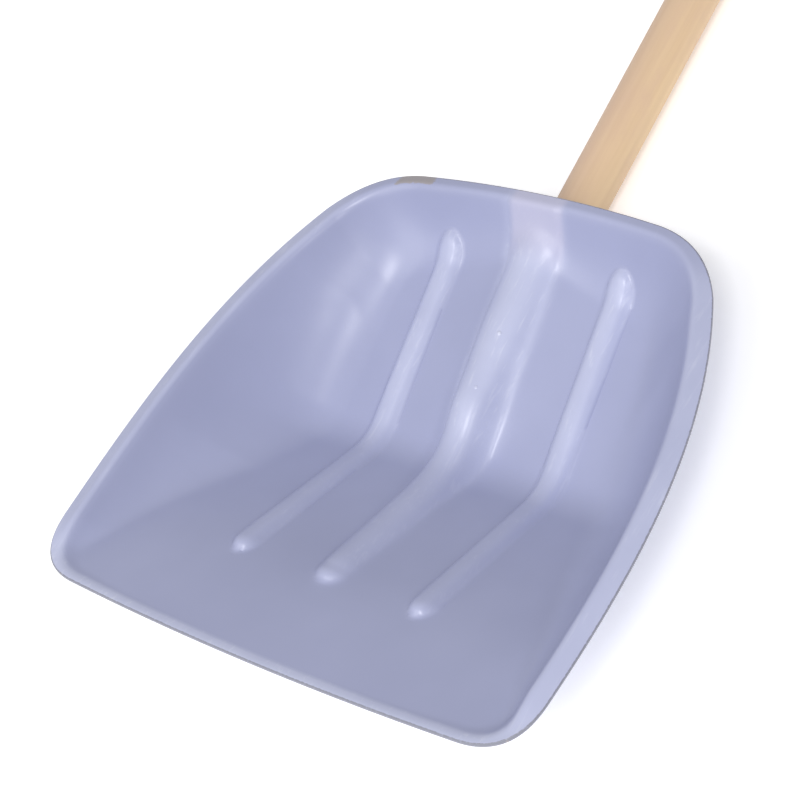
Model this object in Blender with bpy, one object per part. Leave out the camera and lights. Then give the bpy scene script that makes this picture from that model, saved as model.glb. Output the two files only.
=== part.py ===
"""Snow shovel: a moulded scoop with a tapered socket, a round wooden handle and two wood screws.

The shovel lies face up on the ground. The handle runs along +Y, the scoop is at the -Y end and its
left and right halves mirror each other in X. Lengths below are in millimetres and become metres when
a mesh is made. While the shapes are worked out, Y starts at the front edge of the scoop and Z is
measured from the handle's axis; place() moves everything to the final frame.
"""

import math

import bpy
import numpy as np

MM = 0.001

# Plan of the scoop's outer edge, seen from above.
FRONT_HALF_WIDTH = 180.2
FRONT_BOW = 5.9
BACK_HALF_WIDTH = 124.2
SCOOP_LENGTH = 339.2
BACK_BOW = 9.4
SIDE_BULGE = 28.9
SIDE_SKEW = 0.60
FRONT_CORNER = 34.2
BACK_CORNER = 35.9

# Height of the outer edge: a constant, a slope and a curve along Y, and a rise towards the sides.
EDGE_HEIGHT = 77.55
EDGE_SLOPE = -0.1514
EDGE_CURVE = 0.0574 / 400.0
EDGE_SIDE_RISE = 1.57

# Moulded sheet.
THICKNESS = 2.8
FLOOR_START = 77.3
FLOOR_SLOPE = -0.452
FLOOR_BENDS = ((65.0, -0.146, 20.0), (174.6, 0.806, 13.0))
WALL_SLOPE = 1.75
WALL_FILLET = 48.0
LEAST_FILLET = 1.5
FILLET_SHARE = (0.50, 0.90)
LIP_TILTS = ((0.0, -0.25), (10.0, -0.25), (36.0, 0.27), (340.0, 0.27))
LIP_BEND = 3.2
LIP_WIDTHS = ((0.0, 4.6), (10.0, 5.6), (36.0, 12.5), (280.0, 12.5), (325.0, 8.5), (340.0, 8.5))

# Stiffening ribs on the floor.
RIB_HEIGHT = 6.4
RIB_HALF_WIDTHS = ((70.0, 9.2), (150.0, 9.5), (190.0, 9.9), (310.0, 9.9))
RIB_START = (67.4, 74.0)
RIB_END = (64.3, 300.0)
RIB_END_STRETCH = 0.8

# Central ridge, which is the front of the handle's socket: y, crest height and radius.
RIDGE = (
    (74.0, 49.8, 11.2),
    (120.0, 24.8, 13.4),
    (150.0, 9.4, 13.6),
    (170.0, 3.4, 13.0),
    (186.0, 4.8, 12.6),
    (195.0, 8.2, 12.6),
    (205.0, 11.6, 12.8),
    (223.0, 14.2, 14.0),
    (245.0, 17.2, 15.8),
    (262.0, 20.0, 17.4),
    (300.0, 23.6, 17.9),
    (320.0, 27.0, 17.9),
    (360.0, 32.0, 17.9),
)
RIDGE_BLENDS = (3.0, 8.0)
SWELL_HEIGHT = 7.0
SWELL_WIDTH = 38.0
PAD_HEIGHT = 1.6
PAD_HALF_WIDTH = 18.0

# Socket and handle.
SOCKET_MOUTH = 350.0
SOCKET_RADII = ((200.0, 8.6), (205.0, 10.2), (223.0, 12.9), (245.0, 15.6), (262.0, 17.9), (350.0, 17.9))
FIT_GAP = 0.3
HANDLE_RADIUS = 16.0
HANDLE_START = 205.3
HANDLE_TAPER_END = 262.0
HANDLE_TIP_RADIUS = 8.6
HANDLE_END = 1400.0
HANDLE_ROUNDING = 5.0
HANDLE_SIDES = 48

# Countersunk wood screws, driven upwards from under the socket.
SCREW_POSITIONS = (262.0, 300.0)
SCREW_HEAD_RADIUS = 3.9
SCREW_HEAD_DEPTH = 2.2
SCREW_RADIUS = 2.1
SCREW_LENGTH = 25.0
SCREW_SIDES = 20
HEAD_FLOOR = -17.7
RECESS_WIDTH = 1.2
RECESS_SPAN = 4.4
RECESS_DEPTH = 1.6


def ramp(distance, half_width):
    """Zero below 0 and the distance above it, with a parabola over the half width on each side."""
    curved = (distance + half_width) ** 2 / (4.0 * half_width)
    return np.where(distance >= half_width, distance, np.where(distance <= -half_width, 0.0, curved))


def smooth_max(first, second, blend):
    return 0.5 * (first + second + np.sqrt((first - second) ** 2 + blend**2))


def smooth_step(value, start, end):
    part = np.clip((value - start) / (end - start), 0.0, 1.0)
    return part * part * (3.0 - 2.0 * part)


def smooth_table(value, table):
    """Interpolates a table of (position, value) rows, and rounds its corners."""
    rows = np.array(table)
    spread = np.linspace(-8.0, 8.0, 9)
    return np.mean([np.interp(value + step, rows[:, 0], rows[:, 1]) for step in spread], axis=0)


def corner_curve(start, corner, end, count=24):
    part = np.linspace(0.0, 1.0, count)[:, None]
    return (1 - part) ** 2 * start + 2 * part * (1 - part) * corner + part**2 * end


def half_outline():
    """Right half of the outer edge from the front centre to the back centre, in four named runs."""
    front_point = np.array([FRONT_HALF_WIDTH, FRONT_BOW])
    back_point = np.array([BACK_HALF_WIDTH, SCOOP_LENGTH - BACK_BOW])
    x = np.linspace(0.0, FRONT_HALF_WIDTH - FRONT_CORNER, 40)
    front = np.c_[x, FRONT_BOW * (x / FRONT_HALF_WIDTH) ** 2]
    x = np.linspace(BACK_HALF_WIDTH - BACK_CORNER, 0.0, 40)
    back = np.c_[x, SCOOP_LENGTH - BACK_BOW * (x / BACK_HALF_WIDTH) ** 2]
    chord = back_point - front_point
    length = np.hypot(*chord)
    outward = np.array([chord[1], -chord[0]]) / length
    part = np.linspace(0.0, 1.0, 120)
    bulge = SIDE_BULGE * 4 * part * (1 - part) * (1 + SIDE_SKEW * (part - 0.5))
    side = front_point + part[:, None] * chord + bulge[:, None] * outward
    side = side[(part * length > FRONT_CORNER) & ((1 - part) * length > BACK_CORNER)]
    front_corner = corner_curve(front[-1], front_point, side[0])
    back_corner = corner_curve(side[-1], back_point, back[0])
    return front, front_corner, side, back_corner, back


def along(points, count_or_parts):
    """Points at even or given shares of a polyline's length."""
    steps = np.hypot(*np.diff(points, axis=0).T)
    total = np.concatenate([[0.0], np.cumsum(steps)])
    parts = np.linspace(0, 1, count_or_parts) if np.isscalar(count_or_parts) else count_or_parts
    return np.c_[
        np.interp(parts * total[-1], total, points[:, 0]),
        np.interp(parts * total[-1], total, points[:, 1]),
    ]


def edge_distance(points, outline):
    """How far each point is inside the outer edge."""
    start = outline[:-1]
    step = outline[1:] - start
    lengths = (step**2).sum(axis=1)
    distance = np.empty(len(points))
    for index, point in enumerate(points):
        part = np.clip(((point - start) * step).sum(axis=1) / lengths, 0.0, 1.0)
        away = point - start - part[:, None] * step
        distance[index] = math.sqrt((away**2).sum(axis=1).min())
    return distance


def edge_height(x, y):
    return EDGE_HEIGHT + EDGE_SLOPE * y + EDGE_CURVE * y**2 + EDGE_SIDE_RISE * (x / 200) ** 2 * (y / 400) ** 2


def floor_height(y):
    height = FLOOR_START + FLOOR_SLOPE * y
    for position, turn, half_width in FLOOR_BENDS:
        height = height + turn * ramp(y - position, half_width)
    return height


def rib_bump(x, y):
    """Height of the two side ribs, each with rounded ends."""
    part = (y - RIB_START[1]) / (RIB_END[1] - RIB_START[1])
    middle = RIB_START[0] + (RIB_END[0] - RIB_START[0]) * np.clip(part, 0.0, 1.0)
    beyond = RIB_END_STRETCH * np.maximum(0.0, np.maximum(RIB_START[1] - y, y - RIB_END[1]))
    away = np.hypot(np.abs(x) - middle, beyond)
    share = np.clip(away / smooth_table(y, RIB_HALF_WIDTHS), 0.0, 1.0)
    return RIB_HEIGHT * (1 - share**3) ** 1.3


def ridge_height(x, y):
    """Round back of the central ridge, falling steeply away at its sides."""
    rows = np.array(RIDGE)
    crest = smooth_table(y, rows[:, :2])
    radius = smooth_table(y, rows[:, [0, 2]])
    away = np.hypot(x, np.maximum(0.0, rows[0, 0] - y))
    steep = 0.88
    inner = np.minimum(away, steep * radius)
    side = radius - np.sqrt(radius**2 - inner**2)
    slope = steep / math.sqrt(1 - steep**2)
    before = np.maximum(0.0, rows[0, 0] - y)
    return crest - FLOOR_SLOPE * before - side - slope * np.maximum(0.0, away - inner)


def sheet_height(x, y, inside):
    """Top face of the sheet, at a point the given distance inside the outer edge."""
    swell = SWELL_HEIGHT * np.exp(-((x / SWELL_WIDTH) ** 2)) * smooth_step(y, 175.0, 250.0)
    floor = floor_height(y) + swell
    edge = edge_height(x, y)
    lip = smooth_table(y, LIP_WIDTHS)
    tilt = smooth_table(y, LIP_TILTS)
    depth = edge + tilt * lip - floor
    share = FILLET_SHARE[0] + (FILLET_SHARE[1] - FILLET_SHARE[0]) * smooth_step(np.abs(x), 70.0, 120.0)
    fillet = np.clip(share * depth, LEAST_FILLET, WALL_FILLET)
    drop = (WALL_SLOPE + tilt) * ramp(inside - lip, LIP_BEND) - tilt * (inside - lip)
    height = floor + ramp(depth - drop, fillet)
    height = height + rib_bump(x, y)
    blend = RIDGE_BLENDS[0] + (RIDGE_BLENDS[1] - RIDGE_BLENDS[0]) * smooth_step(y, 170.0, 215.0)
    ridge = smooth_max(height, ridge_height(x, y), blend)
    height = height + (ridge - height) * smooth_step(y, 52.0, 60.0) * smooth_step(-y, -334.0, -322.0)
    pad = 1 - smooth_step(np.abs(x), PAD_HALF_WIDTH - 2.5, PAD_HALF_WIDTH + 2.5)
    reach = smooth_step(y, 296.0, 314.0) * smooth_step(inside, 5.5, 11.5)
    return height + PAD_HEIGHT * pad * reach


def split_quad(faces, corners, points):
    """Adds a quad as two triangles along its shorter diagonal, the same way on the left and right."""
    a, b, c, d = corners
    first = np.linalg.norm(points[a] - points[c])
    second = np.linalg.norm(points[b] - points[d])
    tie = points[a][0] + points[c][0] > 0
    if first < second - 0.01 or (abs(first - second) <= 0.01 and tie):
        faces.extend([(a, b, c), (a, c, d)])
    else:
        faces.extend([(a, b, d), (b, c, d)])


def sheet_mesh(columns, outer_columns, rows, rings):
    """Vertices and triangles of the sheet's top face.

    columns are the X positions from the middle outwards, outer_columns the shares of the width left
    beyond them, rows the shares of the side's length and rings the distances inside the outer edge.
    """
    front, front_corner, side, back_corner, back = half_outline()
    middle = len(front_corner) // 2
    front_run = np.vstack([front, front_corner[1 : middle + 1]])
    side_run = np.vstack([front_corner[middle:], side[1:-1], back_corner[: middle + 1]])
    back_run = np.vstack([back_corner[middle:], back[1:]])[::-1]

    def cross_run(run):
        widest = run[-1, 0]
        x = np.concatenate([columns, columns[-1] + np.array(outer_columns) * (widest - columns[-1])])
        return np.c_[x, np.interp(x, run[:, 0], run[:, 1])]

    front_half = cross_run(front_run)
    back_half = cross_run(back_run)
    side_right = along(side_run, np.array(rows))
    flip = np.array([-1.0, 1.0])
    front_full = np.vstack([front_half[:0:-1] * flip, front_half])
    back_full = np.vstack([back_half[:0:-1] * flip, back_half])
    loop = np.vstack([front_full, side_right[1:-1], back_full[::-1], (side_right * flip)[-2:0:-1]])

    dense = np.vstack([front, front_corner[1:], side[1:], back_corner[1:], back[1:]])
    dense = np.vstack([dense, (dense * flip)[-2::-1]])
    tangent = np.roll(loop, -1, axis=0) - np.roll(loop, 1, axis=0)
    inward = np.c_[-tangent[:, 1], tangent[:, 0]] / np.hypot(*tangent.T)[:, None]

    plan = [loop + distance * inward for distance in rings]
    last = plan[-1]
    wide = len(front_full)
    tall = len(side_right)
    front_in = last[:wide]
    right_in = last[wide - 1 : wide + tall - 1]
    back_in = last[wide + tall - 2 : 2 * wide + tall - 2][::-1]
    left_in = np.vstack([last[:1], last[2 * wide + tall - 3 :][::-1]])
    grid = np.empty((tall, wide, 2))
    for j in range(tall):
        part = (right_in[j, 1] - right_in[0, 1]) / (right_in[-1, 1] - right_in[0, 1])
        low = front_in[:, 1] - front_in[-1, 1]
        high = back_in[:, 1] - back_in[-1, 1]
        x = (1 - part) * front_in[:, 0] + part * back_in[:, 0]
        reach = np.abs(x)
        inner = columns[-1]
        end = abs(x[-1])
        share = np.clip((reach - inner) / (end - inner), 0.0, 1.0)
        x = x + np.sign(x) * share * (right_in[j, 0] - end)
        grid[j] = np.c_[x, right_in[j, 1] + (1 - part) * low + part * high]
    grid[:, 0] = left_in
    grid[:, -1] = right_in
    grid[0] = front_in
    grid[-1] = back_in

    flat = np.vstack(plan[:-1] + [grid.reshape(-1, 2)])
    inside = edge_distance(flat, dense)
    inside[: len(loop)] = 0.0
    height = sheet_height(flat[:, 0], flat[:, 1], inside)
    points = np.c_[flat, height]

    base = len(loop) * (len(rings) - 1)
    number = base + np.arange(tall * wide).reshape(tall, wide)
    last_loop = np.concatenate(
        [number[0], number[1:-1, -1], number[-1, ::-1], number[-2:0:-1, 0]]
    )
    loops = [np.arange(len(loop)) + len(loop) * k for k in range(len(rings) - 1)] + [last_loop]
    faces = []
    for outer, inner in zip(loops[:-1], loops[1:]):
        for k in range(len(loop)):
            after = (k + 1) % len(loop)
            split_quad(faces, (outer[k], outer[after], inner[after], inner[k]), points)
    for j in range(tall - 1):
        for i in range(wide - 1):
            corners = (number[j, i], number[j, i + 1], number[j + 1, i + 1], number[j + 1, i])
            split_quad(faces, corners, points)
    return points, faces


def turned_mesh(profile, sides):
    """Closed body turned about Y, from (y, radius) rows that run towards +Y."""
    turn = np.arange(sides) * 2 * math.pi / sides
    points = []
    for y, radius in profile:
        for angle in turn:
            points.append((radius * math.sin(angle), y, radius * math.cos(angle)))
    faces = []
    for ring in range(len(profile) - 1):
        for k in range(sides):
            after = (k + 1) % sides
            a = ring * sides
            b = a + sides
            faces.append((a + k, a + after, b + after, b + k))
    faces.append(tuple(range(sides))[::-1])
    faces.append(tuple(range((len(profile) - 1) * sides, len(profile) * sides)))
    return np.array(points), faces


def box_mesh(low, high):
    points = [(x, y, z) for x in (low[0], high[0]) for y in (low[1], high[1]) for z in (low[2], high[2])]
    faces = [(0, 1, 3, 2), (4, 6, 7, 5), (0, 4, 5, 1), (2, 3, 7, 6), (0, 2, 6, 4), (1, 5, 7, 3)]
    return np.array(points), faces


def material(name, colour, roughness):
    made = bpy.data.materials.new(name)
    made.use_nodes = True
    shader = made.node_tree.nodes["Principled BSDF"]
    shader.inputs["Base Color"].default_value = (*colour, 1.0)
    shader.inputs["Roughness"].default_value = roughness
    return made


def new_object(name, points, faces, surface=None):
    mesh = bpy.data.meshes.new(name)
    corners = [[int(corner) for corner in face] for face in faces]
    mesh.from_pydata((np.asarray(points) * MM).tolist(), [], corners)
    made = bpy.data.objects.new(name, mesh)
    bpy.context.scene.collection.objects.link(made)
    if surface is None:
        made.hide_render = True
        made.display_type = "WIRE"
    else:
        mesh.materials.append(surface)
        mesh.shade_smooth()
        mesh.set_sharp_from_angle(angle=math.radians(35))
    return made


def boolean(target, tool, operation):
    modifier = target.modifiers.new(tool.name, "BOOLEAN")
    modifier.object = tool
    modifier.operation = operation
    modifier.solver = "EXACT"


def upright(tool, y):
    """Turns a body made along Y so that it points up, under the socket at the given Y."""
    tool.rotation_euler = (math.radians(90), 0.0, 0.0)
    tool.location = (0.0, y * MM, 0.0)


def handle_profile(gap):
    """(y, radius) rows of the handle, or of the bore it needs when the gap isn't zero."""
    tip = HANDLE_TIP_RADIUS + gap
    body = HANDLE_RADIUS + gap
    rows = [(HANDLE_START - gap, tip - 1.5), (HANDLE_START + 1.5 - gap, tip), (HANDLE_TAPER_END, body)]
    if gap:
        return rows + [(SOCKET_MOUTH + 20.0, body)]
    rows.append((HANDLE_START + 700.0, body))
    for step in range(5):
        angle = math.radians(90 * step / 4)
        inset = HANDLE_ROUNDING * (1 - math.cos(angle))
        rows.append((HANDLE_END - HANDLE_ROUNDING * (1 - math.sin(angle)), body - inset))
    return rows


def screw_profile(gap):
    """Rows of a screw pointing up, with its head's flat face at the bottom."""
    head = HEAD_FLOOR
    neck = HEAD_FLOOR + SCREW_HEAD_DEPTH
    end = HEAD_FLOOR + SCREW_LENGTH
    rows = [(head - (5.0 if gap else 0.0), SCREW_HEAD_RADIUS + gap), (head + 0.4 + gap, SCREW_HEAD_RADIUS + gap)]
    rows.append((neck + gap, SCREW_RADIUS + gap))
    rows.append((end - 4.0 + gap, SCREW_RADIUS + gap))
    rows.append((end + gap, 0.5 + gap))
    return rows


for old in list(bpy.data.objects):
    bpy.data.objects.remove(old)

plastic = material("lavender_plastic", (0.42, 0.43, 0.62), 0.35)
wood = material("pale_wood", (0.72, 0.52, 0.30), 0.6)
steel = material("zinc_steel", (0.62, 0.62, 0.60), 0.35)
steel.node_tree.nodes["Principled BSDF"].inputs["Metallic"].default_value = 1.0

COLUMNS = (0.0, 5.0, 10.0, 15.0, 20.0, 27.0, 42.0, 56.0, 59.5, 63.5, 68.0, 72.0, 76.0)
OUTER_COLUMNS = (0.25, 0.5, 0.75, 1.0)
ROWS = np.linspace(0.0, 1.0, 36)
RINGS = (0.0, 4.5, 9.0, 14.0)
sheet_points, sheet_faces = sheet_mesh(np.array(COLUMNS), OUTER_COLUMNS, ROWS, RINGS)
scoop = new_object("scoop", sheet_points, sheet_faces, plastic)
shell = scoop.modifiers.new("Shell", "SOLIDIFY")
shell.thickness = THICKNESS * MM
shell.offset = -1.0
shell.use_even_offset = False

socket = new_object("socket_body", *turned_mesh(SOCKET_RADII, HANDLE_SIDES))
bore = new_object("socket_bore", *turned_mesh(handle_profile(FIT_GAP), HANDLE_SIDES))
handle = new_object("handle", *turned_mesh(handle_profile(0.0), HANDLE_SIDES), wood)
boolean(scoop, socket, "UNION")
boolean(scoop, bore, "DIFFERENCE")

pieces = [scoop, handle]
helpers = [socket, bore]
for index, y in enumerate(SCREW_POSITIONS, start=1):
    drill = new_object(f"screw_hole_{index}", *turned_mesh(screw_profile(FIT_GAP), SCREW_SIDES))
    upright(drill, y)
    boolean(scoop, drill, "DIFFERENCE")
    boolean(handle, drill, "DIFFERENCE")
    screw = new_object(f"screw_{index}", *turned_mesh(screw_profile(0.0), SCREW_SIDES), steel)
    upright(screw, y)
    half = RECESS_SPAN / 2
    thin = RECESS_WIDTH / 2
    top = HEAD_FLOOR + RECESS_DEPTH
    for turn, (a, b) in (("long", (half, thin)), ("cross", (thin, half))):
        slot = new_object(f"recess_{turn}_{index}", *box_mesh((-a, HEAD_FLOOR - 1.0, -b), (a, top, b)))
        upright(slot, y)
        boolean(screw, slot, "DIFFERENCE")
        helpers.append(slot)
    pieces.append(screw)
    helpers.append(drill)

bpy.context.view_layer.update()
graph = bpy.context.evaluated_depsgraph_get()
solid = scoop.evaluated_get(graph).to_mesh()
foremost = min(vertex.co.y for vertex in solid.vertices)
lowest = min(vertex.co.z for vertex in solid.vertices)
for made in pieces + helpers:
    made.location.y -= (foremost + HANDLE_END * MM) / 2
    made.location.z -= lowest
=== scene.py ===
"""Snow shovel at rest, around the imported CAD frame.

The scoop and the handle are meshed finer than in the CAD, and get materials, a floor, lights and a camera.
"""

import math

import bpy
import numpy as np
from mathutils import Matrix, Vector


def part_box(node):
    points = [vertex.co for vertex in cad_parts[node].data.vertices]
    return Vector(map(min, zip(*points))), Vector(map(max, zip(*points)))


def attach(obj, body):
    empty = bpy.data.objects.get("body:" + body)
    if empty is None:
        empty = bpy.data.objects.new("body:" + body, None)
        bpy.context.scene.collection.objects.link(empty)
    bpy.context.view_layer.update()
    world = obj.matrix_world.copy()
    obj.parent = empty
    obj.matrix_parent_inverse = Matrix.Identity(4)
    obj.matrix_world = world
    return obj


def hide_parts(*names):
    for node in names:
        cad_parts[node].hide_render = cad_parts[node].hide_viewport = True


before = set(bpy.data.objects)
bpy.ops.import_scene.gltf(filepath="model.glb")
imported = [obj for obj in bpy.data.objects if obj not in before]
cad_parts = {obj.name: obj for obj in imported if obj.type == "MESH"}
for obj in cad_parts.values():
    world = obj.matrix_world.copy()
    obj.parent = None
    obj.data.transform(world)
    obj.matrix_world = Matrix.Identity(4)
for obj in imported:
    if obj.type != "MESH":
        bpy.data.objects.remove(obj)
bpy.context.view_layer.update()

MM = 0.001

# ---- Shape -------------------------------------------------------------------------------------
# The same numbers as the CAD model's, in millimetres: Y from the front edge, Z from the handle's axis.
FRONT_HALF_WIDTH = 180.2
FRONT_BOW = 5.9
BACK_HALF_WIDTH = 124.2
SCOOP_LENGTH = 339.2
BACK_BOW = 9.4
SIDE_BULGE = 28.9
SIDE_SKEW = 0.60
FRONT_CORNER = 34.2
BACK_CORNER = 35.9
EDGE_HEIGHT = 77.55
EDGE_SLOPE = -0.1514
EDGE_CURVE = 0.0574 / 400.0
EDGE_SIDE_RISE = 1.57
THICKNESS = 2.8
FLOOR_START = 77.3
FLOOR_SLOPE = -0.452
FLOOR_BENDS = ((65.0, -0.146, 20.0), (174.6, 0.806, 13.0))
WALL_SLOPE = 1.75
WALL_FILLET = 48.0
LEAST_FILLET = 1.5
FILLET_SHARE = (0.50, 0.90)
FILLET_SHARE_SPAN = (70.0, 120.0)
LIP_TILTS = ((0.0, -0.25), (10.0, -0.25), (36.0, 0.27), (340.0, 0.27))
LIP_BEND = 3.2
LIP_WIDTHS = ((0.0, 4.6), (10.0, 5.6), (36.0, 12.5), (280.0, 12.5), (325.0, 8.5), (340.0, 8.5))
RIB_HEIGHT = 6.4
RIB_HALF_WIDTHS = ((70.0, 9.2), (150.0, 9.5), (190.0, 9.9), (310.0, 9.9))
RIB_START = (67.4, 74.0)
RIB_END = (64.3, 300.0)
RIB_END_STRETCH = 0.8
RIDGE = (
    (74.0, 49.8, 11.2),
    (120.0, 24.8, 13.4),
    (150.0, 9.4, 13.6),
    (170.0, 3.4, 13.0),
    (186.0, 4.8, 12.6),
    (195.0, 8.2, 12.6),
    (205.0, 11.6, 12.8),
    (223.0, 14.2, 14.0),
    (245.0, 17.2, 15.8),
    (262.0, 20.0, 17.4),
    (300.0, 23.6, 17.9),
    (320.0, 27.0, 17.9),
    (360.0, 32.0, 17.9),
)
RIDGE_BLENDS = (3.0, 8.0)
RIDGE_BLEND_SPAN = (170.0, 215.0)
RIDGE_STEEPNESS = 0.88
RIDGE_FADE_IN = (52.0, 60.0)
RIDGE_FADE_OUT = (322.0, 334.0)
SWELL_HEIGHT = 7.0
SWELL_WIDTH = 38.0
SWELL_SPAN = (175.0, 250.0)
PAD_HEIGHT = 1.6
PAD_HALF_WIDTH = 18.0
PAD_SOFTNESS = 2.5
PAD_FADE_IN = (296.0, 314.0)
PAD_INSET = (5.5, 11.5)
SOCKET_MOUTH = 350.0
SOCKET_RADII = ((200.0, 8.6), (205.0, 10.2), (223.0, 12.9), (245.0, 15.6), (262.0, 17.9), (350.0, 17.9))
MOUTH_CHAMFER = (0.8, 0.6)
BORE_REACH = 20.0
FIT_GAP = 0.3
HANDLE_RADIUS = 16.0
HANDLE_START = 205.3
HANDLE_TAPER_END = 262.0
HANDLE_TIP_RADIUS = 8.6
TIP_CHAMFER = 1.5
HANDLE_END = 1400.0
HANDLE_ROUNDING = 5.0
SCREW_POSITIONS = (262.0, 300.0)
SCREW_HEAD_RADIUS = 3.9
SCREW_HEAD_DEPTH = 2.2
SCREW_HEAD_RIM = 0.4
SCREW_RADIUS = 2.1
SCREW_LENGTH = 25.0
HEAD_FLOOR = -17.7
DRILL_REACH = 5.0

# ---- Fineness of the meshes ---------------------------------------------------------------------
OUTLINE_POINTS = 60
SIDE_POINTS = 240
TABLE_SOFTNESS = 8.0
COLUMN_STEP = 1.65
COLUMNS_END = 82.0
OUTER_COLUMNS = 37
ROWS = 160
EDGE_ROUND = 0.8
RINGS = (0.0, 0.6, 1.5, 2.6, 3.8, 5.0, 6.3, 7.6, 8.9, 10.2, 11.5, 12.8)
BEAD_STEPS = 8
ROUND_SIDES = 96
DRILL_SIDES = 32
HANDLE_ROWS_START = 280.0
HANDLE_ROW_STEP = 20.0
ROUNDING_STEPS = 8
SHARP_ANGLE = math.radians(40.0)

# ---- Looks: linear colours, and marks in the shape's own millimetres ----------------------------
PLASTIC_COLOURS = ((0.358, 0.380, 0.560), (0.390, 0.413, 0.600))
# Paler colour for the raised places: partly wear, partly painted highlight.
WEAR_AND_SHEEN_COLOUR = (0.66, 0.69, 0.88)
# Pale streaks along the raised places: scratches and painted highlight lines.
SCRATCH_AND_GLINT_COLOUR = (0.86, 0.88, 0.97)
PAD_COLOUR = (0.64, 0.60, 0.74)
# Painted shade for the dark line round the rim's edge.
EDGE_SHADE_COLOUR = (0.13, 0.125, 0.13)
CHIP_COLOUR = (0.36, 0.32, 0.30)
# Pale colour on the mould marks: a painted glint.
MARK_GLINT_COLOUR = (0.80, 0.82, 0.95)
# Wood colour for the shaded left side and the lit right side: painted light.
WOOD_SHADED_AND_LIT_SIDES = ((0.70, 0.51, 0.38), (0.77, 0.56, 0.34))
GRAIN_COLOUR = (0.62, 0.42, 0.27)
BLOTCH_COLOUR = (0.66, 0.45, 0.35)
STEEL_COLOURS = ((0.62, 0.62, 0.60), (0.50, 0.50, 0.47))
PLASTIC_IOR = 1.49
MOULD_MARKS = ((4.9, 252.7, 19.3), (4.9, 216.9, 14.4))
MARK_RADII = (0.6, 1.7)
CORNER_CHIPS = (
    (-168.0, 7.5, 2.6),
    (-174.5, 17.0, 2.0),
    (-155.0, 4.6, 1.8),
    (172.0, 13.0, 2.4),
    (166.0, 6.6, 2.0),
)
RIM_PATCH_X = -91.0
RIM_PATCH_INSET = 3.5
RIM_PATCH_SIZE = (15.0, 4.5)
PALE_STRENGTH = 0.40
PALE_CENTRE_X = 2.0
# How strongly the raised places are paled, partly by wear and partly by painted highlight.
UPPER_WEAR_AND_SHEEN = 0.30
RIB_WEAR_AND_SHEEN = 0.16
RIDGE_WEAR_AND_SHEEN = 0.20
LIP_WEAR_AND_SHEEN = 0.30
LIP_WEAR_AND_SHEEN_LOST_AT_BACK = 0.22
LIP_WEAR_AND_SHEEN_ADDED_AT_FRONT = 0.30
# Strength of the painted shade along the rim's edge.
EDGE_SHADE_STRENGTH = 0.8
RIM_PATCH_STRENGTH = 0.9
CHIP_STRENGTH = 0.75

# ---- Stage, in metres, watts and degrees ---------------------------------------------------------
GROUND_HALF_SIZE = 9.0
GROUND_COLOUR = (0.96, 0.96, 0.96, 1.0)
GROUND_GLOW = 0.28
WHITE = (1.0, 1.0, 1.0, 1.0)
WORLD_STRENGTH = 0.43
LIGHT_TARGET = (0.0, -0.5, 0.04)
LIGHT_DISTANCE = 4.0
# Name, direction from the target, size and power.
LIGHTS = (
    ("key", (-0.06, -0.62, 0.78), 3.4, 79.0),
    ("corner", (0.38, -0.34, 0.84), 0.8, 45.0),
    ("side", (0.74, -0.26, 0.62), 0.5, 15.0),
)
CAMERA_TURN = (65.22, 48.92, -41.99)
CAMERA_AIM = (0.0, 200.0, 20.0)
CAMERA_OFFSET = (-31.43, 2.35, 1226.85)
CAMERA_LENS = 92.18
CAMERA_SENSOR = 36.0

# The handle's far end and lowest side are plain in the CAD box, so they place this shape on it.
handle_low, handle_high = (np.array(corner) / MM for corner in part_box("handle"))
SHIFT = np.array([0.0, handle_high[1] - HANDLE_END, (handle_low[2] + handle_high[2]) / 2])


def ramp(distance, half_width):
    """Zero below 0 and the distance itself above, with a curve between that is twice half_width long."""
    curved = (distance + half_width) ** 2 / (4.0 * half_width)
    return np.where(distance >= half_width, distance, np.where(distance <= -half_width, 0.0, curved))


def smooth_max(first, second, blend):
    """The larger of the two, rounded where they cross."""
    return 0.5 * (first + second + np.sqrt((first - second) ** 2 + blend**2))


def smooth_step(value, start, end):
    """0 before start, 1 after end, and a smooth rise between."""
    part = np.clip((value - start) / (end - start), 0.0, 1.0)
    return part * part * (3.0 - 2.0 * part)


def smooth_table(value, table):
    """Looks a value up between the table's rows, averaged over a short stretch so that it has no kinks."""
    rows = np.array(table)
    spread = np.linspace(-TABLE_SOFTNESS, TABLE_SOFTNESS, 9)
    return np.mean([np.interp(value + step, rows[:, 0], rows[:, 1]) for step in spread], axis=0)


def corner_curve(start, corner, end):
    part = np.linspace(0.0, 1.0, OUTLINE_POINTS)[:, None]
    return (1 - part) ** 2 * start + 2 * part * (1 - part) * corner + part**2 * end


def half_outline():
    """The right half of the scoop's outline seen from above, as five runs from the front to the back."""
    front_point = np.array([FRONT_HALF_WIDTH, FRONT_BOW])
    back_point = np.array([BACK_HALF_WIDTH, SCOOP_LENGTH - BACK_BOW])
    x = np.linspace(0.0, FRONT_HALF_WIDTH - FRONT_CORNER, OUTLINE_POINTS)
    front = np.c_[x, FRONT_BOW * (x / FRONT_HALF_WIDTH) ** 2]
    x = np.linspace(BACK_HALF_WIDTH - BACK_CORNER, 0.0, OUTLINE_POINTS)
    back = np.c_[x, SCOOP_LENGTH - BACK_BOW * (x / BACK_HALF_WIDTH) ** 2]
    chord = back_point - front_point
    length = np.hypot(*chord)
    outward = np.array([chord[1], -chord[0]]) / length
    part = np.linspace(0.0, 1.0, SIDE_POINTS)
    bulge = SIDE_BULGE * 4 * part * (1 - part) * (1 + SIDE_SKEW * (part - 0.5))
    side = front_point + part[:, None] * chord + bulge[:, None] * outward
    side = side[(part * length > FRONT_CORNER) & ((1 - part) * length > BACK_CORNER)]
    front_corner = corner_curve(front[-1], front_point, side[0])
    back_corner = corner_curve(side[-1], back_point, back[0])
    return front, front_corner, side, back_corner, back


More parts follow.
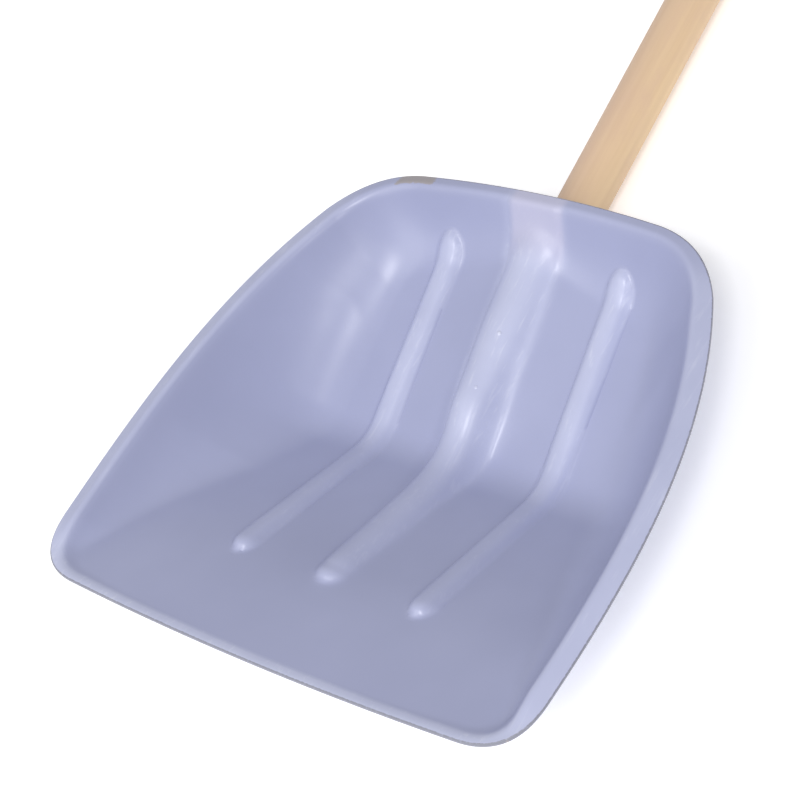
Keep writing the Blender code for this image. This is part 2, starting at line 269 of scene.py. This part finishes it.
def along(points, parts):
    """Points at the given parts of the whole length of a line through the given points."""
    steps = np.hypot(*np.diff(points, axis=0).T)
    total = np.concatenate([[0.0], np.cumsum(steps)])
    at = np.asarray(parts) * total[-1]
    return np.c_[np.interp(at, total, points[:, 0]), np.interp(at, total, points[:, 1])]


def dense_outline():
    front, front_corner, side, back_corner, back = half_outline()
    dense = np.vstack([front, front_corner[1:], side[1:], back_corner[1:], back[1:]])
    return np.vstack([dense, (dense * [-1.0, 1.0])[-2::-1]])


def edge_distance(points):
    """How far each point is inside the outer edge."""
    outline = dense_outline()
    start = outline[:-1]
    step = outline[1:] - start
    lengths = (step**2).sum(axis=1)
    nearest = []
    for some in np.array_split(points, max(1, len(points) // 2000)):
        offset = some[:, None, :] - start
        part = np.clip((offset * step).sum(axis=2) / lengths, 0.0, 1.0)
        away = offset - part[..., None] * step
        nearest.append(np.sqrt((away**2).sum(axis=2).min(axis=1)))
    return np.concatenate(nearest)


def edge_height(x, y):
    """Height of the rim, which sinks towards the back."""
    return EDGE_HEIGHT + EDGE_SLOPE * y + EDGE_CURVE * y**2 + EDGE_SIDE_RISE * (x / 200) ** 2 * (y / 400) ** 2


def floor_height(y):
    """Height of the floor and the back wall, which are one line with two bends."""
    height = FLOOR_START + FLOOR_SLOPE * y
    for position, turn, half_width in FLOOR_BENDS:
        height = height + turn * ramp(y - position, half_width)
    return height


def swell_height(x, y):
    """The broad swell of the back wall under the ridge."""
    return SWELL_HEIGHT * np.exp(-((x / SWELL_WIDTH) ** 2)) * smooth_step(y, *SWELL_SPAN)


def rib_bump(x, y):
    """How far the two side ribs stand out of the sheet."""
    part = (y - RIB_START[1]) / (RIB_END[1] - RIB_START[1])
    middle = RIB_START[0] + (RIB_END[0] - RIB_START[0]) * np.clip(part, 0.0, 1.0)
    beyond = RIB_END_STRETCH * np.maximum(0.0, np.maximum(RIB_START[1] - y, y - RIB_END[1]))
    away = np.hypot(np.abs(x) - middle, beyond)
    share = np.clip(away / smooth_table(y, RIB_HALF_WIDTHS), 0.0, 1.0)
    return RIB_HEIGHT * (1 - share**3) ** 1.3


def ridge_height(x, y):
    """The central ridge: a round crest with straight sides."""
    rows = np.array(RIDGE)
    crest = smooth_table(y, rows[:, :2])
    radius = smooth_table(y, rows[:, [0, 2]])
    before = np.maximum(0.0, rows[0, 0] - y)
    away = np.hypot(x, before)
    inner = np.minimum(away, RIDGE_STEEPNESS * radius)
    side = radius - np.sqrt(radius**2 - inner**2)
    slope = RIDGE_STEEPNESS / math.sqrt(1 - RIDGE_STEEPNESS**2)
    return crest - FLOOR_SLOPE * before - side - slope * np.maximum(0.0, away - inner)


def sheet_height(x, y, inside):
    """Height of the sheet's upper face, at points that are the given distance inside the rim."""
    floor = floor_height(y) + swell_height(x, y)
    edge = edge_height(x, y)
    lip = smooth_table(y, LIP_WIDTHS)
    tilt = smooth_table(y, LIP_TILTS)
    depth = edge + tilt * lip - floor
    outer = smooth_step(np.abs(x), *FILLET_SHARE_SPAN)
    share = FILLET_SHARE[0] + (FILLET_SHARE[1] - FILLET_SHARE[0]) * outer
    fillet = np.clip(share * depth, LEAST_FILLET, WALL_FILLET)
    drop = (WALL_SLOPE + tilt) * ramp(inside - lip, LIP_BEND) - tilt * (inside - lip)
    height = floor + ramp(depth - drop, fillet)
    height = height + rib_bump(x, y)
    blend = RIDGE_BLENDS[0] + (RIDGE_BLENDS[1] - RIDGE_BLENDS[0]) * smooth_step(y, *RIDGE_BLEND_SPAN)
    ridge = smooth_max(height, ridge_height(x, y), blend)
    before_end = smooth_step(-y, -RIDGE_FADE_OUT[1], -RIDGE_FADE_OUT[0])
    height = height + (ridge - height) * smooth_step(y, *RIDGE_FADE_IN) * before_end
    pad = 1 - smooth_step(np.abs(x), PAD_HALF_WIDTH - PAD_SOFTNESS, PAD_HALF_WIDTH + PAD_SOFTNESS)
    reach = smooth_step(y, *PAD_FADE_IN) * smooth_step(inside, *PAD_INSET)
    return height + PAD_HEIGHT * pad * reach


def inner_grid(last, wide, tall, inner):
    """Rows of points that fill the innermost loop. Columns up to inner run straight from front to back."""
    front_in = last[:wide]
    right_in = last[wide - 1 : wide + tall - 1]
    back_in = last[wide + tall - 2 : 2 * wide + tall - 2][::-1]
    left_in = np.vstack([last[:1], last[2 * wide + tall - 3 :][::-1]])
    low = front_in[:, 1] - front_in[-1, 1]
    high = back_in[:, 1] - back_in[-1, 1]
    grid = np.empty((tall, wide, 2))
    for j, (edge_x, edge_y) in enumerate(right_in):
        part = (edge_y - right_in[0, 1]) / (right_in[-1, 1] - right_in[0, 1])
        x = (1 - part) * front_in[:, 0] + part * back_in[:, 0]
        end = abs(x[-1])
        share = np.clip((np.abs(x) - inner) / (end - inner), 0.0, 1.0)
        x = x + np.sign(x) * share * (edge_x - end)
        grid[j] = np.c_[x, edge_y + (1 - part) * low + part * high]
    grid[:, 0] = left_in
    grid[:, -1] = right_in
    grid[0] = front_in
    grid[-1] = back_in
    return grid


def edge_bead(upper, lower, normal, inward):
    """Loops of a half ellipse round the rim, between the two faces' outer loops."""
    outward = np.c_[-inward, np.zeros(len(inward))]
    outward -= (outward * normal).sum(axis=1)[:, None] * normal
    turns = np.linspace(0.0, math.pi, BEAD_STEPS)[1:-1]
    return [
        (upper + lower) / 2 + (upper - lower) / 2 * math.cos(turn) + outward * EDGE_ROUND * math.sin(turn)
        for turn in turns
    ]


def sheet_mesh(columns, outer_columns, rows, rings):
    """Closed sheet: its top face, its bottom face a thickness below, and a rounded edge between."""
    front, front_corner, side, back_corner, back = half_outline()
    middle = len(front_corner) // 2
    front_run = np.vstack([front, front_corner[1 : middle + 1]])
    side_run = np.vstack([front_corner[middle:], side[1:-1], back_corner[: middle + 1]])
    back_run = np.vstack([back_corner[middle:], back[1:]])[::-1]

    def cross_run(run):
        widest = run[-1, 0]
        x = np.concatenate([columns, columns[-1] + np.array(outer_columns) * (widest - columns[-1])])
        return np.c_[x, np.interp(x, run[:, 0], run[:, 1])]

    front_half = cross_run(front_run)
    back_half = cross_run(back_run)
    side_right = along(side_run, rows)
    flip = np.array([-1.0, 1.0])
    front_full = np.vstack([front_half[:0:-1] * flip, front_half])
    back_full = np.vstack([back_half[:0:-1] * flip, back_half])
    loop = np.vstack([front_full, side_right[1:-1], back_full[::-1], (side_right * flip)[-2:0:-1]])
    tangent = np.roll(loop, -1, axis=0) - np.roll(loop, 1, axis=0)
    inward = np.c_[-tangent[:, 1], tangent[:, 0]] / np.hypot(*tangent.T)[:, None]

    plan = [loop + distance * inward for distance in rings]
    last = plan[-1]
    wide = len(front_full)
    tall = len(side_right)
    grid = inner_grid(last, wide, tall, columns[-1])
    flat = np.vstack(plan[:-1] + [grid.reshape(-1, 2)])
    inside = edge_distance(flat)
    top = np.c_[flat, sheet_height(flat[:, 0], flat[:, 1], inside)]

    count = len(loop)
    base = count * (len(rings) - 1)
    number = base + np.arange(tall * wide).reshape(tall, wide)
    last_loop = np.concatenate([number[0], number[1:-1, -1], number[-1, ::-1], number[-2:0:-1, 0]])
    loops = [np.arange(count) + count * k for k in range(len(rings) - 1)] + [last_loop]
    quads = [
        np.c_[outer, np.roll(outer, -1), np.roll(inner, -1), inner]
        for outer, inner in zip(loops[:-1], loops[1:])
    ]
    cells = (number[:-1, :-1], number[:-1, 1:], number[1:, 1:], number[1:, :-1])
    quads.append(np.column_stack([corner.ravel() for corner in cells]))
    quads = np.vstack(quads)
    normal = np.zeros_like(top)
    cross = np.cross(top[quads[:, 2]] - top[quads[:, 0]], top[quads[:, 3]] - top[quads[:, 1]])
    for k in range(4):
        np.add.at(normal, quads[:, k], cross)
    normal /= np.linalg.norm(normal, axis=1)[:, None]
    bottom = top - THICKNESS * normal

    bead = edge_bead(top[:count], bottom[:count], normal[:count], inward)
    points = np.vstack([top, bottom] + bead)
    faces = [quads, quads[:, ::-1] + len(top)]
    ring = [np.arange(count)]
    ring += [2 * len(top) + k * count + np.arange(count) for k in range(len(bead))]
    ring.append(len(top) + np.arange(count))
    for above, below in zip(ring[:-1], ring[1:]):
        faces.append(np.c_[np.roll(above, -1), above, below, np.roll(below, -1)])
    return points, np.vstack(faces)


def turned_mesh(profile, sides):
    """Closed body turned about Y, from (y, radius) rows that run towards +Y."""
    turn = np.arange(sides) * 2 * math.pi / sides
    points = np.vstack(
        [np.c_[radius * np.sin(turn), np.full(sides, y), radius * np.cos(turn)] for y, radius in profile]
    )
    faces = []
    for ring in range(len(profile) - 1):
        for k in range(sides):
            after = (k + 1) % sides
            a = ring * sides
            faces.append((a + k, a + after, a + sides + after, a + sides + k))
    faces.append(tuple(range(sides))[::-1])
    faces.append(tuple(range((len(profile) - 1) * sides, len(profile) * sides)))
    return points, faces


def new_object(name, points, faces):
    """A smooth-shaded object from points in the shape's own millimetres."""
    mesh = bpy.data.meshes.new(name)
    place = (np.asarray(points) + SHIFT) * MM
    mesh.from_pydata(place.tolist(), [], [[int(corner) for corner in face] for face in faces])
    made = bpy.data.objects.new(name, mesh)
    bpy.context.scene.collection.objects.link(made)
    mesh.shade_smooth()
    mesh.set_sharp_from_angle(angle=SHARP_ANGLE)
    return made


def drill_profile():
    """Heights and radii of a screw's countersunk hole."""
    head = SCREW_HEAD_RADIUS + FIT_GAP
    shank = SCREW_RADIUS + FIT_GAP
    return [
        (HEAD_FLOOR - DRILL_REACH, head),
        (HEAD_FLOOR + SCREW_HEAD_RIM + FIT_GAP, head),
        (HEAD_FLOOR + SCREW_HEAD_DEPTH + FIT_GAP, shank),
        (HEAD_FLOOR + SCREW_LENGTH + FIT_GAP, shank),
    ]


def drill(y):
    """A cutter for the screw hole at y, upright on the handle's axis."""
    points, faces = turned_mesh(drill_profile(), DRILL_SIDES)
    points = np.c_[points[:, 0], y - points[:, 2], points[:, 1]]
    return new_object("drill", points, faces)


def socket_profile():
    """The socket's outer radii, with a chamfered mouth."""
    radius = SOCKET_RADII[-1][1]
    back, down = MOUTH_CHAMFER
    return [*SOCKET_RADII[:-1], (SOCKET_MOUTH - back, radius), (SOCKET_MOUTH, radius - down)]


def bore_profile():
    """The handle's own taper with the gap added, and past the mouth."""
    tip = HANDLE_TIP_RADIUS + FIT_GAP
    body = HANDLE_RADIUS + FIT_GAP
    start = HANDLE_START - FIT_GAP
    return [
        (start, tip - TIP_CHAMFER),
        (start + TIP_CHAMFER, tip),
        (HANDLE_TAPER_END, body),
        (SOCKET_MOUTH + BORE_REACH, body),
    ]


def handle_profile():
    """Distances along the handle and its radii: the taper, the straight pole and the rounded far end."""
    rows = [(HANDLE_START, HANDLE_TIP_RADIUS - TIP_CHAMFER), (HANDLE_START + TIP_CHAMFER, HANDLE_TIP_RADIUS)]
    rows.append((HANDLE_TAPER_END, HANDLE_RADIUS))
    straight_end = HANDLE_END - HANDLE_ROUNDING
    rows += [(y, HANDLE_RADIUS) for y in np.arange(HANDLE_ROWS_START, straight_end - 4.0, HANDLE_ROW_STEP)]
    for step in range(ROUNDING_STEPS + 1):
        angle = math.radians(90 * step / ROUNDING_STEPS)
        inset = HANDLE_ROUNDING * (1 - math.cos(angle))
        rows.append((HANDLE_END - HANDLE_ROUNDING * (1 - math.sin(angle)), HANDLE_RADIUS - inset))
    return rows


def apply_boolean(target, tools, operation):
    """Applies one exact Boolean with all the tools, and removes them."""
    group = bpy.data.collections.new("tools")
    bpy.context.scene.collection.children.link(group)
    for tool in tools:
        group.objects.link(tool)
    modifier = target.modifiers.new("cut", "BOOLEAN")
    modifier.operand_type = "COLLECTION"
    modifier.collection = group
    modifier.operation = operation
    modifier.solver = "EXACT"
    bpy.context.view_layer.update()
    graph = bpy.context.evaluated_depsgraph_get()
    result = bpy.data.meshes.new_from_object(target.evaluated_get(graph))
    target.modifiers.clear()
    target.data = result
    for tool in tools:
        bpy.data.objects.remove(tool)
    bpy.data.collections.remove(group)


def keep_inside(mesh, box):
    """Moves every vertex that is past the box back onto it."""
    low, high = (np.array(corner) for corner in box)
    for vertex in mesh.vertices:
        vertex.co = Vector(np.clip(np.array(vertex.co), low, high))


def fine_scoop():
    """The sheet, joined to its socket and drilled."""
    columns = np.arange(0.0, COLUMNS_END, COLUMN_STEP)
    outer_columns = np.linspace(0.0, 1.0, OUTER_COLUMNS)[1:]
    rows = np.linspace(0.0, 1.0, ROWS)
    made = new_object("scoop_fine", *sheet_mesh(columns, outer_columns, rows, EDGE_ROUND + np.array(RINGS)))
    apply_boolean(made, [new_object("socket", *turned_mesh(socket_profile(), ROUND_SIDES))], "UNION")
    bore = new_object("bore", *turned_mesh(bore_profile(), ROUND_SIDES))
    apply_boolean(made, [bore] + [drill(y) for y in SCREW_POSITIONS], "DIFFERENCE")
    made.data.shade_smooth()
    made.data.set_sharp_from_angle(angle=SHARP_ANGLE)
    keep_inside(made.data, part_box("scoop"))
    return made


scoop = fine_scoop()
handle = new_object("handle_fine", *turned_mesh(handle_profile(), ROUND_SIDES))


# ---- Materials ---------------------------------------------------------------------------------
class Nodes:
    """Short calls for building one material's node tree."""

    def __init__(self, name):
        self.material = bpy.data.materials.new(name)
        self.material.use_nodes = True
        self.tree = self.material.node_tree
        self.shader = self.tree.nodes["Principled BSDF"]

    def new(self, kind, **settings):
        node = self.tree.nodes.new(kind)
        for key, value in settings.items():
            setattr(node, key, value)
        return node

    def link(self, source, target):
        self.tree.links.new(source, target)

    def position(self):
        return self.new("ShaderNodeTexCoord").outputs["Object"]

    def mapped(self, scale, offset=(0.0, 0.0, 0.0)):
        node = self.new("ShaderNodeMapping")
        node.inputs["Scale"].default_value = scale
        node.inputs["Location"].default_value = offset
        self.link(self.position(), node.inputs["Vector"])
        return node.outputs["Vector"]

    def noise(self, vector, scale, detail, rough):
        node = self.new("ShaderNodeTexNoise")
        node.inputs["Scale"].default_value = scale
        node.inputs["Detail"].default_value = detail
        node.inputs["Roughness"].default_value = rough
        self.link(vector, node.inputs["Vector"])
        return node.outputs["Fac"]

    def span(self, value, low, high, to_low=0.0, to_high=1.0):
        node = self.new("ShaderNodeMapRange")
        node.clamp = True
        node.inputs["From Min"].default_value = low
        node.inputs["From Max"].default_value = high
        node.inputs["To Min"].default_value = to_low
        node.inputs["To Max"].default_value = to_high
        self.link(value, node.inputs["Value"])
        return node.outputs["Result"]

    def mix(self, share, first, second):
        node = self.new("ShaderNodeMix", data_type="RGBA")
        for socket, value in ((node.inputs[6], first), (node.inputs[7], second)):
            if isinstance(value, tuple):
                socket.default_value = (*value, 1.0)
            else:
                self.link(value, socket)
        self.link(share, node.inputs[0])
        return node.outputs[2]

    def math(self, operation, first, second):
        node = self.new("ShaderNodeMath", operation=operation)
        for socket, value in zip(node.inputs, (first, second)):
            if isinstance(value, float):
                socket.default_value = value
            else:
                self.link(value, socket)
        return node.outputs[0]

    def distance(self, centre):
        """Distance in millimetres from a point given in the shape's own millimetres."""
        scaled = self.new("ShaderNodeVectorMath", operation="SCALE")
        scaled.inputs["Scale"].default_value = 1.0 / MM
        self.link(self.position(), scaled.inputs[0])
        node = self.new("ShaderNodeVectorMath", operation="DISTANCE")
        node.inputs[1].default_value = tuple(np.array(centre) + SHIFT)
        self.link(scaled.outputs[0], node.inputs[0])
        return node.outputs["Value"]

    def attribute(self, name):
        return self.new("ShaderNodeAttribute", attribute_name=name).outputs["Fac"]

    def bump(self, height, strength, distance, normal=None):
        node = self.new("ShaderNodeBump")
        node.inputs["Strength"].default_value = strength
        node.inputs["Distance"].default_value = distance
        self.link(height, node.inputs["Height"])
        if normal is not None:
            self.link(normal, node.inputs["Normal"])
        return node.outputs["Normal"]


def plastic_material():
    """Lavender plastic: paler on the raised places from wear and painted highlight, with painted shade along
    the rim's edge, chips, and two raised mould marks painted pale as glints.
    """
    nodes = Nodes("scoop_plastic")
    where = nodes.mapped((1.0, 1.0, 1.0))
    cloud = nodes.noise(where, 9.0, 3.0, 0.5)
    patches = nodes.noise(where, 26.0, 3.0, 0.55)
    fine = nodes.noise(where, 60.0, 4.0, 0.6)
    # Noise stretched along the scoop, for scratches and painted highlight streaks.
    scratch_and_glint_noise = nodes.noise(nodes.mapped((330.0, 14.0, 330.0)), 1.0, 4.0, 0.6)
    speckle = nodes.noise(where, 700.0, 3.0, 0.6)
    ragged = nodes.noise(where, 240.0, 4.0, 0.6)

    colour = nodes.mix(nodes.span(cloud, 0.35, 0.65), *PLASTIC_COLOURS)
    # Ribs, ridge and lip turned paler: partly wear, partly painted highlight.
    wear_and_sheen = nodes.math("MULTIPLY", nodes.attribute("wear_and_sheen"), nodes.span(patches, 0.3, 0.7, 0.8, 1.15))
    colour = nodes.mix(wear_and_sheen, colour, WEAR_AND_SHEEN_COLOUR)
    # Pale streaks on the raised places: scratches and painted highlight lines.
    scratch_and_glint_streaks = nodes.span(scratch_and_glint_noise, 0.56, 0.76, 0.0, 0.5)
    colour = nodes.mix(nodes.math("MULTIPLY", wear_and_sheen, scratch_and_glint_streaks), colour, SCRATCH_AND_GLINT_COLOUR)
    colour = nodes.mix(nodes.attribute("pale"), colour, PAD_COLOUR)
    # Painted shade darkens the rim's edge, with a ragged inner border.
    edge_shaded = nodes.math("ADD", nodes.attribute("edge_shade"), nodes.span(speckle, 0.3, 0.7, -0.15, 0.15))
    colour = nodes.mix(nodes.span(edge_shaded, 0.35, 0.75, 0.0, 0.7), colour, EDGE_SHADE_COLOUR)
    chipped = nodes.math("ADD", nodes.attribute("scuff"), nodes.span(ragged, 0.3, 0.7, -0.3, 0.3))
    colour = nodes.mix(nodes.span(chipped, 0.42, 0.72, 0.0, 0.8), colour, CHIP_COLOUR)

    # The mould marks are raised by bump and painted pale as glints.
    marks = [nodes.span(nodes.distance(centre), *MARK_RADII, 1.0, 0.0) for centre in MOULD_MARKS]
    for mark in marks:
        colour = nodes.mix(nodes.math("MULTIPLY", mark, 0.5), colour, MARK_GLINT_COLOUR)
    nodes.link(colour, nodes.shader.inputs["Base Color"])
    nodes.link(nodes.span(fine, 0.3, 0.7, 0.29, 0.33), nodes.shader.inputs["Roughness"])
    normal = nodes.bump(fine, 0.015, 0.0004)
    raised = nodes.math("ADD", *marks)
    nodes.link(nodes.bump(raised, 0.8, 0.0006, normal), nodes.shader.inputs["Normal"])
    nodes.shader.inputs["IOR"].default_value = PLASTIC_IOR
    return nodes.material


def wood_material():
    """Pale bare wood with long grain, with painted light: darker and redder on the shaded left, lighter and
    yellower on the lit right.
    """
    nodes = Nodes("handle_wood")
    grain = nodes.noise(nodes.mapped((160.0, 5.0, 160.0)), 1.0, 6.0, 0.6)
    blotch = nodes.noise(nodes.mapped((42.0, 16.0, 42.0), (3.0, 0.0, 0.0)), 1.0, 4.0, 0.6)
    across = nodes.new("ShaderNodeSeparateXYZ")
    nodes.link(nodes.position(), across.inputs["Vector"])
    # Painted light: the right side is lighter and yellower, the left side darker and redder.
    side_light_tint = nodes.mix(nodes.span(across.outputs["X"], -0.012, 0.016), *WOOD_SHADED_AND_LIT_SIDES)
    colour = nodes.mix(nodes.span(grain, 0.35, 0.68, 0.0, 0.4), side_light_tint, GRAIN_COLOUR)
    colour = nodes.mix(nodes.span(blotch, 0.45, 0.68, 0.0, 0.45), colour, BLOTCH_COLOUR)
    nodes.link(colour, nodes.shader.inputs["Base Color"])
    nodes.link(nodes.span(grain, 0.3, 0.7, 0.5, 0.65), nodes.shader.inputs["Roughness"])
    nodes.link(nodes.bump(grain, 0.15, 0.0004), nodes.shader.inputs["Normal"])
    return nodes.material


def steel_material():
    """Zinc-plated steel."""
    nodes = Nodes("screw_steel")
    wear_and_sheen = nodes.noise(nodes.mapped((1.0, 1.0, 1.0)), 400.0, 3.0, 0.5)
    nodes.link(nodes.mix(nodes.span(wear_and_sheen, 0.35, 0.65), *STEEL_COLOURS), nodes.shader.inputs["Base Color"])
    nodes.link(nodes.span(wear_and_sheen, 0.3, 0.7, 0.28, 0.42), nodes.shader.inputs["Roughness"])
    nodes.shader.inputs["Metallic"].default_value = 1.0
    return nodes.material


def floor_material():
    """A pale floor that gives off a little light, so that it looks white."""
    nodes = Nodes("floor_pale")
    nodes.shader.inputs["Base Color"].default_value = GROUND_COLOUR
    nodes.shader.inputs["Roughness"].default_value = 0.9
    nodes.shader.inputs["Emission Color"].default_value = WHITE
    nodes.shader.inputs["Emission Strength"].default_value = GROUND_GLOW
    return nodes.material


def wear_and_sheen_share(x, y, z, inside):
    """How pale the raised places are, from wear and painted highlight: the ribs, the ridge and the lip, more
    so towards the back wall.
    """
    upper = smooth_step(y, 150.0, 215.0)
    back = smooth_step(y, 300.0, 318.0)
    front = 1 - smooth_step(y, 6.0, 40.0)
    rib = smooth_step(rib_bump(x, y), 0.2, 1.6)
    raised = smooth_step(z - (floor_height(y) + swell_height(x, y)), 0.4, 3.0)
    ridge = raised * (1 - smooth_step(np.abs(x), 17.0, 28.0)) * smooth_step(y, 56.0, 62.0)
    lip_width = smooth_table(y, LIP_WIDTHS)
    lip = 1 - smooth_step(inside, lip_width - 1.0, lip_width + 1.5)
    on_ribs = rib * (RIB_WEAR_AND_SHEEN + UPPER_WEAR_AND_SHEEN * upper)
    on_ridge = ridge * (RIDGE_WEAR_AND_SHEEN + UPPER_WEAR_AND_SHEEN * upper) * (1 - 0.6 * back)
    on_lip = lip * (LIP_WEAR_AND_SHEEN - LIP_WEAR_AND_SHEEN_LOST_AT_BACK * back + LIP_WEAR_AND_SHEEN_ADDED_AT_FRONT * front)
    return np.maximum(np.maximum(on_ribs, on_ridge), on_lip)


def pale_share(x, y, z):
    """How pale the pad above the ridge is."""
    away = np.abs(x - PALE_CENTRE_X)
    pad = 1 - smooth_step(away, PAD_HALF_WIDTH - 2.0, PAD_HALF_WIDTH + 4.0)
    return PALE_STRENGTH * pad * smooth_step(y, 296.0, 320.0) * smooth_step(z, 8.0, 16.0)


def scuff_share(x, y, inside):
    """Where the surface is chipped: one long patch on the back left rim, and spots at the front corners."""
    length, width = RIM_PATCH_SIZE
    away = np.maximum(np.abs(x - RIM_PATCH_X) / length, np.abs(inside - RIM_PATCH_INSET) / width)
    scuff = (1 - smooth_step(away, 0.6, 1.2)) * smooth_step(y, 250.0, 260.0) * RIM_PATCH_STRENGTH
    for chip_x, chip_y, radius in CORNER_CHIPS:
        chip = 1 - smooth_step(np.hypot(x - chip_x, y - chip_y), 0.5 * radius, radius)
        scuff = np.maximum(scuff, CHIP_STRENGTH * chip)
    return scuff


def write_masks(mesh):
    """Writes the shares that the plastic's nodes read, for each vertex."""
    place = np.empty(len(mesh.vertices) * 3)
    mesh.vertices.foreach_get("co", place)
    x, y, z = (place.reshape(-1, 3) / MM - SHIFT).T
    inside = edge_distance(np.c_[x, y])
    masks = {
        # Wear and painted highlight on the ribs, the ridge and the lip.
        "wear_and_sheen": wear_and_sheen_share(x, y, z, inside),
        "pale": pale_share(x, y, z),
        # Painted shade along the rim's outer edge, wider at the back.
        "edge_shade": EDGE_SHADE_STRENGTH * (1 - smooth_step(inside, 0.4, 1.5 + 0.8 * smooth_step(y, 300.0, 318.0))),
        "scuff": scuff_share(x, y, inside),
    }
    for name, values in masks.items():
        layer = mesh.attributes.new(name, "FLOAT", "POINT")
        layer.data.foreach_set("value", values.astype(np.float32))


write_masks(scoop.data)
plastic = plastic_material()
wood = wood_material()
steel = steel_material()
for piece, surface, node, slot in (
    (scoop, plastic, "scoop", "scoop_plastic"),
    (handle, wood, "handle", "handle_wood"),
):
    piece.data.materials.clear()
    piece.data.materials.append(surface)
    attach(piece, "root")
    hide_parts(node)
for name in ("screw_1", "screw_2"):
    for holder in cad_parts[name].material_slots:
        holder.material = steel


# ---- Stage -------------------------------------------------------------------------------------
def ground():
    size = GROUND_HALF_SIZE
    mesh = bpy.data.meshes.new("ground")
    corners = [(-size, -size, 0.0), (size, -size, 0.0), (size, size, 0.0), (-size, size, 0.0)]
    mesh.from_pydata(corners, [], [(0, 1, 2, 3)])
    made = bpy.data.objects.new("ground", mesh)
    bpy.context.scene.collection.objects.link(made)
    mesh.materials.append(floor_material())


def soft_light(name, towards, size, power):
    """A square white area light, in the given direction from the target and facing it."""
    data = bpy.data.lights.new(name, "AREA")
    data.shape = "SQUARE"
    data.size = size
    data.energy = power
    made = bpy.data.objects.new(name, data)
    bpy.context.scene.collection.objects.link(made)
    away = Vector(towards).normalized()
    made.location = Vector(LIGHT_TARGET) + away * LIGHT_DISTANCE
    made.rotation_euler = away.to_track_quat("Z", "Y").to_euler()


def camera():
    """Looks at the scoop from its right and above. The offset is along the camera's own axes."""
    azimuth, elevation, roll = (math.radians(angle) for angle in CAMERA_TURN)
    back = Vector(
        (
            math.sin(azimuth) * math.cos(elevation),
            -math.cos(azimuth) * math.cos(elevation),
            math.sin(elevation),
        )
    )
    level = Vector((math.cos(azimuth), math.sin(azimuth), 0.0))
    rise = back.cross(level)
    right = level * math.cos(roll) + rise * math.sin(roll)
    up = rise * math.cos(roll) - level * math.sin(roll)
    aim = (Vector(CAMERA_AIM) + Vector(SHIFT)) * MM
    data = bpy.data.cameras.new("camera")
    data.sensor_width = CAMERA_SENSOR
    data.lens = CAMERA_LENS
    data.clip_end = 20.0
    made = bpy.data.objects.new("camera", data)
    bpy.context.scene.collection.objects.link(made)
    aside, above, behind = CAMERA_OFFSET
    place = aim + (right * aside + up * above + back * behind) * MM
    turn = Matrix((right, up, back)).transposed()
    made.matrix_world = Matrix.Translation(place) @ turn.to_4x4()
    bpy.context.scene.camera = made


def studio_world():
    world = bpy.data.worlds.new("studio")
    world.use_nodes = True
    background = world.node_tree.nodes["Background"]
    background.inputs["Color"].default_value = WHITE
    background.inputs["Strength"].default_value = WORLD_STRENGTH
    bpy.context.scene.world = world


ground()
camera()
studio_world()
for light in LIGHTS:
    soft_light(*light)
bpy.context.scene.view_settings.view_transform = "Standard"
